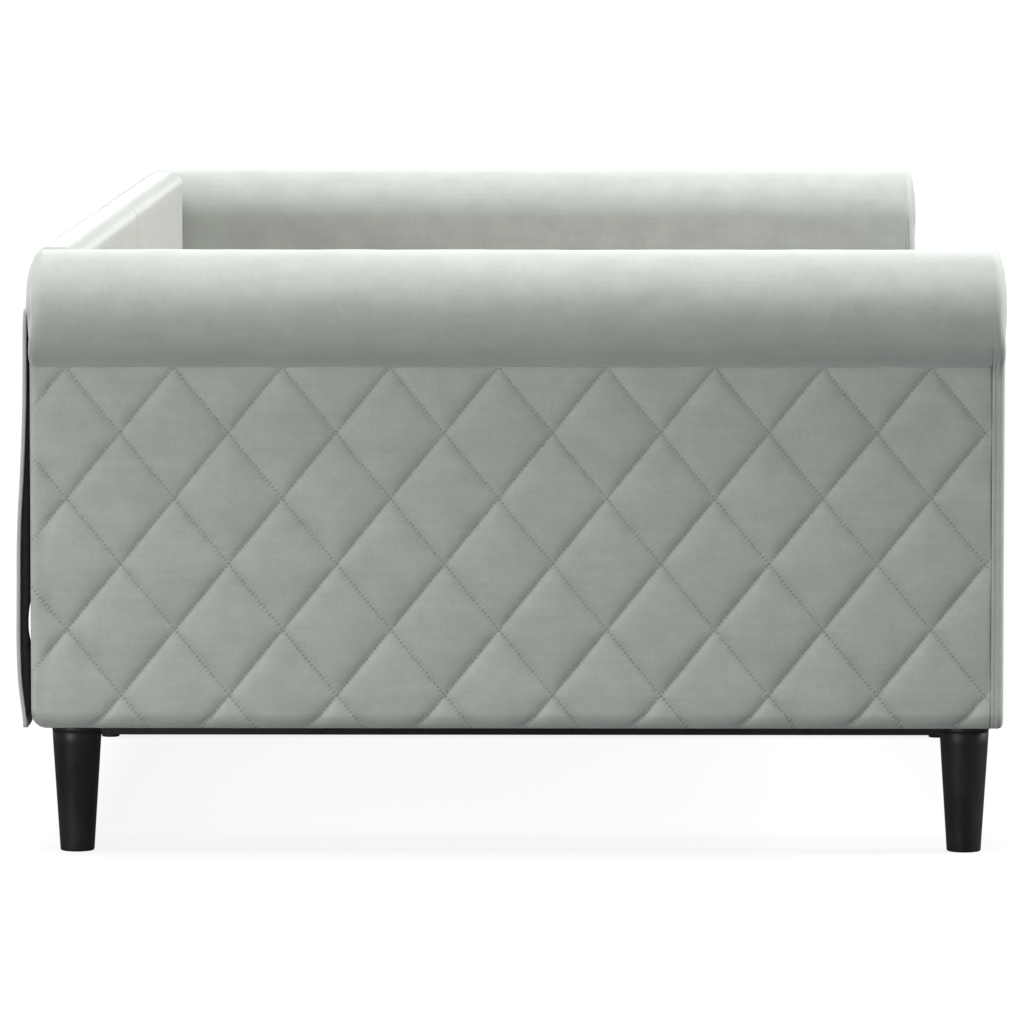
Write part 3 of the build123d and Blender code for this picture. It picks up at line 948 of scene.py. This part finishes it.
def flap_hem(edge, z):
    """1 on the turned-over hem, 0 on the single cloth."""
    side_hem = np.exp(-((edge / (6 * MM)) ** 4))
    low_hem = np.exp(-(((z - flap_low.z) / (9 * MM)) ** 4))
    return np.maximum(side_hem, low_hem)


def rear_flap(side):
    """The loose flap: velvet turned over at its edges, hanging from its top seam."""
    z, s, outer, edge = flap_grid(flap_low.z + 1 * MM, 110)
    hem = flap_hem(edge, z)
    thick = (2.0 + 3.0 * hem) * MM
    round_edge = 1.8 * MM * np.exp(-edge / (1.1 * MM))
    front = to_row(side, s, outer - round_edge * 0.8, z)
    rear = to_row(side, s, np.maximum(outer - thick + round_edge * 0.8, REAR_Y + 2.2 * MM), z)
    rows, columns = z.shape
    points = np.concatenate([front.reshape(-1, 3), rear.reshape(-1, 3)])
    face = grid_faces(rows, columns)
    total = rows * columns
    rim = list(range(columns)) + [columns * (k + 1) - 1 for k in range(1, rows)]
    rim += [total - 2 - k for k in range(columns - 1)]
    rim += [columns * (rows - 2 - k) for k in range(rows - 2)]
    walls = [(a, b, b + total, a + total) for a, b in zip(rim, rim[1:] + rim[:1])]
    faces = [tuple(f) for f in face] + [tuple(f + total) for f in face] + walls
    made = consistent(new_object(f"{side}_flap_velvet", points, faces, [VELVET]))
    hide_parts(f"{side}_rear_flap")
    return made


def flap_shade_lining(side):
    """The flap's slack black lining, filling most of the flap-to-arm space as painted shade."""
    low_z = flap_low.z + 11 * MM
    z, s, outer, edge = flap_grid(low_z, 100)
    inner = outer - (2.0 + 3.0 * flap_hem(edge, z)) * MM
    # Painted shade: the lining is pushed out to the arm so the shaded space reads black, except
    # where light shows through.
    gap = np.sin(math.pi * np.clip((z - GAP_LOW) / (GAP_HIGH - GAP_LOW), 0, 1)) ** 0.7
    wedge = 0.9 * MM + 5.6 * MM * (ARM_THICKNESS - s) / ARM_THICKNESS
    near = REAR_Y + 0.5 * MM + wedge * gap
    near = near + 2.6 * MM * smooth_step(z, flap_high.z - 60 * MM, flap_high.z)
    slack = smooth_step(edge, 0.2 * MM, 2.2 * MM) * smooth_step(z, low_z, low_z + 9 * MM)
    near = near + 0.3 * MM * (1 + wobble(s, z, 0.02, 6.0))
    y = inner - 0.1 * MM + (np.minimum(near, inner) - inner) * slack
    made = surface(f"{side}_flap_shade_lining", to_row(side, s, y, z), [LINING])
    look_along(made, (0, -1, 0))
    thicken(made, 0.5 * MM)
    area = float(polygons(made, "area", 1).sum()) / 2
    return made


def flap_stitches(side):
    """Hem stitching round the flap and along the seam it hangs from."""
    width = flap_high.x - flap_low.x
    left = flap_low.x - INNER_X
    z = np.linspace(flap_high.z - 4 * MM, flap_low.z + 9 * MM, 120)
    rows = []
    for s in (left + 7 * MM, left + width - 7 * MM):
        rows.append(to_row(side, s, REAR_Y + flap_stand(z) - 0.15 * MM, z))
    s = np.linspace(left + 7 * MM, left + width - 7 * MM, 20)
    for height in (flap_low.z + 9 * MM, flap_high.z - 4 * MM):
        stand = REAR_Y + flap_stand(np.array(height)) - 0.15 * MM
        rows.append(to_row(side, s, stand, height))
    outward = [(0, 1, 0)] * len(rows)
    return stitches(f"{side}_flap_stitches", rows, outward, 4.0 * MM, 0.3 * MM, 0.1 * MM)


def flap_tape(side):
    """The hook tape sewn low down on the velvet frame, which holds the flap's hem."""
    low = np.array([14 * MM, BOTTOM + 15 * MM])
    high = np.array([ARM_THICKNESS - 21 * MM, BOTTOM + 31 * MM])
    plane = liner_high.y + 0.7 * MM
    return soft_box(
        f"{side}_hook_tape",
        to_row(side, low[0], plane, low[1]),
        to_row(side, high[0], plane + 1.8 * MM, high[1]),
        (1.5 * MM, 0.7 * MM, 1.5 * MM),
        4 * MM,
        [HOOKS],
    )


def dust_cloth(side):
    """The black cloth stapled under the arm."""
    low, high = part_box("right_arm_dust_cover")
    x = np.linspace(low.x - INNER_X + 1 * MM, high.x - INNER_X, 14)
    y = np.linspace(low.y, high.y, 150)
    grid_y, grid_s = np.meshgrid(y, x, indexing="ij")
    across = np.minimum(grid_s - x[0], x[-1] - grid_s)
    slack = 0.6 + 0.4 * wobble(grid_y, grid_s, 0.05, 1.0)
    sag = 0.7 * MM * smooth_step(across, 0, 15 * MM) * slack
    grid = to_row(side, grid_s, grid_y, high.z - 1.2 * MM - sag)
    made = surface(f"{side}_dust_cloth", grid, [LINING])
    look_along(made, (0, 0, -1))
    thicken(made, 0.5 * MM)
    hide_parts(f"{side}_arm_dust_cover")
    return made


# The outline's points under the arm and round its lower corner, which the foam leaves out.
FOAM_START = 9


def arm_foam(side):
    """The foam wrapped over the skin board, glued down, with soft cut edges."""
    low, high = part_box("right_arm_foam")
    y = stretched_rows(low.y + 1 * MM, REAR_Y - 24 * MM, 14 * MM)
    s, z = cover_outline(2.4 * MM, 50, 44)
    s, z = s[FOAM_START:], z[FOAM_START:]
    made = surface(f"{side}_arm_foam_wrap", to_row(side, s, y[:, None], z), [FOAM])
    thicken(made, 9.0 * MM)
    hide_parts(f"{side}_arm_foam")
    return made


# ---------------------------------------------------------------- the back, the rail and the base


def soft_box(name, low, high, rounding, step, materials, swell=None):
    """A closed box with rounded edges, its corners given in any order."""
    low, high = np.minimum(low, high), np.maximum(low, high)
    rounding = np.asarray(rounding, float)
    counts = [max(4, int((high[k] - low[k]) / step)) for k in range(3)]
    lines = []
    for k in range(3):
        inner = np.linspace(low[k] + rounding[k], high[k] - rounding[k], counts[k] + 1)
        edge = rounding[k] * (1 - np.tan(np.linspace(1, 0, 6)[:-1] * math.pi / 4))
        lines.append(np.concatenate([low[k] + edge, inner, (high[k] - edge)[::-1]]))
    points, faces, start = [], [], 0
    for k in range(3):
        a, b = [m for m in range(3) if m != k]
        for end in (low[k], high[k]):
            grid_a, grid_b = np.meshgrid(lines[a], lines[b], indexing="ij")
            grid = np.empty(grid_a.shape + (3,))
            grid[..., a], grid[..., b], grid[..., k] = grid_a, grid_b, end
            points.append(grid.reshape(-1, 3))
            faces.append(grid_faces(*grid_a.shape) + start)
            start += grid_a.size
    points = np.concatenate(points)
    core = np.clip(points, low + rounding, high - rounding)
    away = (points - core) / rounding
    length = np.linalg.norm(away, axis=1)[:, None]
    points = core + away / np.maximum(length, 1e-9) * rounding
    if swell is not None:
        points = swell(points, away / np.maximum(length, 1e-9))
    made = new_object(name, points, np.concatenate(faces), materials)
    return consistent(made)


def squared(points, away, rounding, share):
    """Makes a soft box's rounded edges nearly square where share is 1, over a board's corners."""
    tight = (np.abs(away) ** 16).sum(axis=1) ** (1 / 16)
    outside = tight > 0.1
    more = np.where(outside, 1 / np.maximum(tight, 0.1) - 1, 0) * share
    return points + away * rounding * more[:, None]


def back_half(side):
    """One half of the back: tight velvet, rounded along its top and at the joint in the middle."""
    low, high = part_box(f"{side}_back_cover")
    low, high = np.array(low), np.array(high)
    (high if side == "left" else low)[0] = 0.05 * MM * SIDES[side]
    (low if side == "left" else high)[0] += 0.2 * MM * SIDES[side]
    size = high - low
    rounding = np.array((9 * MM, 16 * MM, 15 * MM))

    def swell(points, away):
        along = np.abs((points[:, 0] - (low[0] + high[0]) / 2) / (size[0] / 2))
        up = (points[:, 2] - low[2]) / size[2]
        full = (1 - along**6) * np.sin(math.pi * np.clip(up, 0, 1)) ** 0.5
        uneven = 0.6 * MM * wobble(points[:, 0], points[:, 2], 0.12, 2.0)
        board = smooth_step(points[:, 1], high[1] - 31 * MM, high[1] - 27 * MM)
        board *= 1 - smooth_step(points[:, 2], high[2] - 20 * MM, high[2] - 15 * MM)
        points = squared(points, away, rounding, board)
        points[:, 1] += away[:, 1] * (1.2 * MM * full + uneven * full)
        crest = 0.5 * MM * wobble(points[:, 0], points[:, 1], 0.15, 1.0)
        points[:, 2] += np.maximum(away[:, 2], 0) * crest
        return points

    made = soft_box(f"{side}_back_velvet", low, high, rounding, 9 * MM, [VELVET], swell)
    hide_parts(f"{side}_back_cover")
    return made


def back_foam(side):
    """The foam inside one half of the back, over its front and its top edge."""
    low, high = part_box(f"{side}_back_foam")
    made = soft_box(
        f"{side}_back_foam_pad",
        np.array(low) + np.array([6, 2.5, 6]) * MM,
        np.array([high.x - 6 * MM, low.y + 17.0 * MM, high.z - 12 * MM]),
        (3 * MM, 8 * MM, 8 * MM),
        25 * MM,
        [FOAM],
    )
    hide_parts(f"{side}_back_foam")
    return made


def rail_half(side):
    """One half of the front rail: padded velvet pulled tight over its board."""
    low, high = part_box(f"{side}_rail_cover")
    low, high = np.array(low) - 0.2 * MM, np.array(high) + np.array([0.2, 0, 0]) * MM
    size = high - low
    rounding = np.array((2 * MM, 9 * MM, 9 * MM))

    def swell(points, away):
        up = (points[:, 2] - low[2]) / size[2]
        full = np.sin(math.pi * np.clip(up, 0, 1)) ** 0.5
        board = 1 - smooth_step(points[:, 2], high[2] - 13 * MM, high[2] - 9 * MM)
        points = squared(points, away, rounding, board)
        uneven = 1 + wobble(points[:, 0], points[:, 2], 0.09, 3.0)
        points[:, 1] += away[:, 1] * 0.7 * MM * full * uneven
        return points

    made = soft_box(f"{side}_rail_velvet", low, high, rounding, 9 * MM, [VELVET], swell)
    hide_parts(f"{side}_rail_cover")
    return made


LEG_TAPER = 7.75 * MM
BOLT_RADIUS = 4.1 * MM


def leg(side, place):
    """A turned leg: a tapered body, a shadow groove and a short collar under the arm."""
    low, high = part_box(f"{side}_{place}_leg")
    x, y = (low.x + high.x) / 2, (low.y + high.y) / 2
    top = (high.x - low.x) / 2
    foot = top - LEG_TAPER
    tall = high.z
    groove = tall - 5 * MM
    profile = [(0.0, 0.4 * MM), (foot - 5 * MM, 0.0), (foot - 2 * MM, 0.0)]
    for t in np.linspace(0, math.pi / 2, 6)[1:]:
        profile.append((foot - 2 * MM + 2 * MM * math.sin(t), 2 * MM - 2 * MM * math.cos(t)))
    for share in np.linspace(0, 1, 12)[1:]:
        radius = foot + (top - 0.2 * MM - foot) * share
        profile.append((radius, 2 * MM + (groove - 3.2 * MM) * share))
    for inset, up in ((0.4, -0.9), (1.0, -0.6), (1.0, -0.2), (0.2, 0.2), (0.0, 0.6)):
        profile.append((top - inset * MM, groove + up * MM))
    profile += [(top, tall - 0.5 * MM), (top - 0.5 * MM, tall), (BOLT_RADIUS, tall)]
    turn = np.linspace(0, 2 * math.pi, 73)[:-1]
    rings = []
    for radius, up in profile:
        ring = [x + radius * np.cos(turn), y + radius * np.sin(turn), np.full(len(turn), up)]
        rings.append(np.stack(ring, axis=1))
    made = surface(f"{side}_{place}_leg_turned", np.stack(rings), [LEG_BLACK], around=True)
    consistent(made)
    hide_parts(f"{side}_{place}_leg")
    return made


# The first of these found in a CAD node's name decides its material.
CAD_LOOKS = {
    "slat_": SLAT_WOOD, "_ledges": LEDGE_WOOD, "_bottom_rail": DEPTH_WOOD,
    "_top_rail": DEPTH_WOOD, "_rib": RIB_WOOD, "skin_board": HARDBOARD, "_board": CHIPBOARD,
    "centre_panel": PANEL_BLACK, "centre_glides": GLIDE_BLACK, "bolts": ZINC, "brackets": ZINC,
    "_leg": LEG_BLACK, "foam": FOAM, "liner": LINING, "dust": LINING,
}  # fmt: skip


def finish_cad_nodes():
    """Gives each CAD node its own material."""
    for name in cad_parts:
        made = bpy.data.objects[name]
        material = next((m for key, m in CAD_LOOKS.items() if key in name), VELVET)
        made.data.materials.clear()
        made.data.materials.append(material)


# ---------------------------------------------------------------- camera and light


CAMERA_PLACE = (-8.826, -0.0720, 0.9764)
CAMERA_YAW, CAMERA_PITCH = math.radians(0.5130), math.radians(-4.658)
CAMERA_LENS, CAMERA_SENSOR = 273.2, 36.0


def place_camera():
    """A long lens at the arm's end, looking along the bed from a little above it."""
    data = bpy.data.cameras.new("camera")
    data.lens = CAMERA_LENS
    data.sensor_width = CAMERA_SENSOR
    data.clip_end = 100
    camera = bpy.data.objects.new("camera", data)
    camera.location = CAMERA_PLACE
    level = math.cos(CAMERA_PITCH)
    ahead = (level * math.cos(CAMERA_YAW), level * math.sin(CAMERA_YAW), math.sin(CAMERA_PITCH))
    camera.rotation_euler = Vector(ahead).to_track_quat("-Z", "Y").to_euler()
    bpy.context.scene.collection.objects.link(camera)
    bpy.context.scene.camera = camera


def add_light(name, kind, place, target, energy, **settings):
    """A light at place, turned towards target."""
    data = bpy.data.lights.new(name, kind)
    data.energy = energy
    for key, value in settings.items():
        setattr(data, key, value)
    light = bpy.data.objects.new(name, data)
    light.location = place
    ahead = Vector(target) - Vector(place)
    light.rotation_euler = ahead.to_track_quat("-Z", "Y").to_euler()
    bpy.context.scene.collection.objects.link(light)


WORLD_LOW, WORLD_HORIZON, WORLD_HIGH = 0.13, 1.0, 0.36
# The world's brightness by the height of the direction, from -1 to 1.
WORLD_LEVELS = [
    (-0.10, WORLD_LOW), (-0.02, WORLD_HORIZON), (0.04, WORLD_HORIZON), (0.14, WORLD_HIGH),
]  # fmt: skip


def light_scene():
    """A white studio: brightest at the horizon, with a broad sun and two area lights."""
    world = bpy.data.worlds.new("studio")
    world.use_nodes = True
    tree = world.node_tree
    direction = tree.nodes.new("ShaderNodeTexCoord")
    split = tree.nodes.new("ShaderNodeSeparateXYZ")
    ramp = tree.nodes.new("ShaderNodeValToRGB")
    while len(ramp.color_ramp.elements) < len(WORLD_LEVELS):
        ramp.color_ramp.elements.new(0.5)
    for element, (height, level) in zip(ramp.color_ramp.elements, WORLD_LEVELS):
        element.position = height / 2 + 0.5
        element.color = (*grey(level / WORLD_HORIZON), 1)
    half = tree.nodes.new("ShaderNodeMath")
    half.operation = "MULTIPLY_ADD"
    half.inputs[1].default_value = 0.5
    half.inputs[2].default_value = 0.5
    tree.links.new(direction.outputs["Generated"], split.inputs[0])
    tree.links.new(split.outputs["Z"], half.inputs[0])
    tree.links.new(half.outputs[0], ramp.inputs["Fac"])
    tree.links.new(ramp.outputs["Color"], tree.nodes["Background"].inputs["Color"])
    tree.nodes["Background"].inputs["Strength"].default_value = WORLD_HORIZON
    bpy.context.scene.world = world
    add_light("overhead", "SUN", (0, 0.14, 1), (0, 0, 0), 4.4, angle=math.radians(40))
    shape = {"shape": "RECTANGLE", "size": 1.8, "size_y": 1.2}
    add_light("front_left", "AREA", (-4.6, 2.3, 0.95), (-1.08, 0.0, 0.35), 120, **shape)
    shape = {"shape": "RECTANGLE", "size": 1.4, "size_y": 1.4}
    add_light("open_side", "AREA", (-0.5, -4.4, 1.75), (0.3, 0.4, 0.4), 265, **shape)
    settings = bpy.context.scene.view_settings
    settings.view_transform = "Standard"
    settings.look = "None"


FLOOR_GLOW = 0.86


def floor():
    """A plain white studio floor that takes soft shadows and throws no light back up."""
    mesh = bpy.data.meshes.new("floor")
    reach = 60
    corners = [(-reach, -reach, 0), (reach, -reach, 0), (reach, reach, 0), (-reach, reach, 0)]
    mesh.from_pydata(corners, [], [(0, 1, 2, 3)])
    made = bpy.data.objects.new("floor", mesh)
    look = Look("floor_white", 1.0, 0.0)
    glow = {"Emission Color": (1, 1, 1, 1), "Emission Strength": FLOOR_GLOW}
    look.set(**{"Base Color": (*grey(0.1), 1)}, **glow)
    mesh.materials.append(look.material)
    bpy.context.scene.collection.objects.link(made)
    made.visible_diffuse = False
    made.visible_glossy = False
    made.visible_shadow = False


# ---------------------------------------------------------------- putting it together

place_camera()
light_scene()
floor()
finish_cad_nodes()

ON_BED = (
    arm_cover, quilt_face, quilt_stitches, front_band, front_topstitch, rear_cap, rear_liner,
    flap_tape, dust_cloth, arm_foam, back_half, back_foam, rail_half,
)  # fmt: skip

for side in SIDES:
    fixed = [make(side) for make in ON_BED] + [leg(side, place) for place in ("front", "rear")]
    for piece in fixed:
        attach(piece, BED)
    for piece in (rear_flap(side), flap_shade_lining(side), flap_stitches(side)):
        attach(piece, f"{side}_flap")
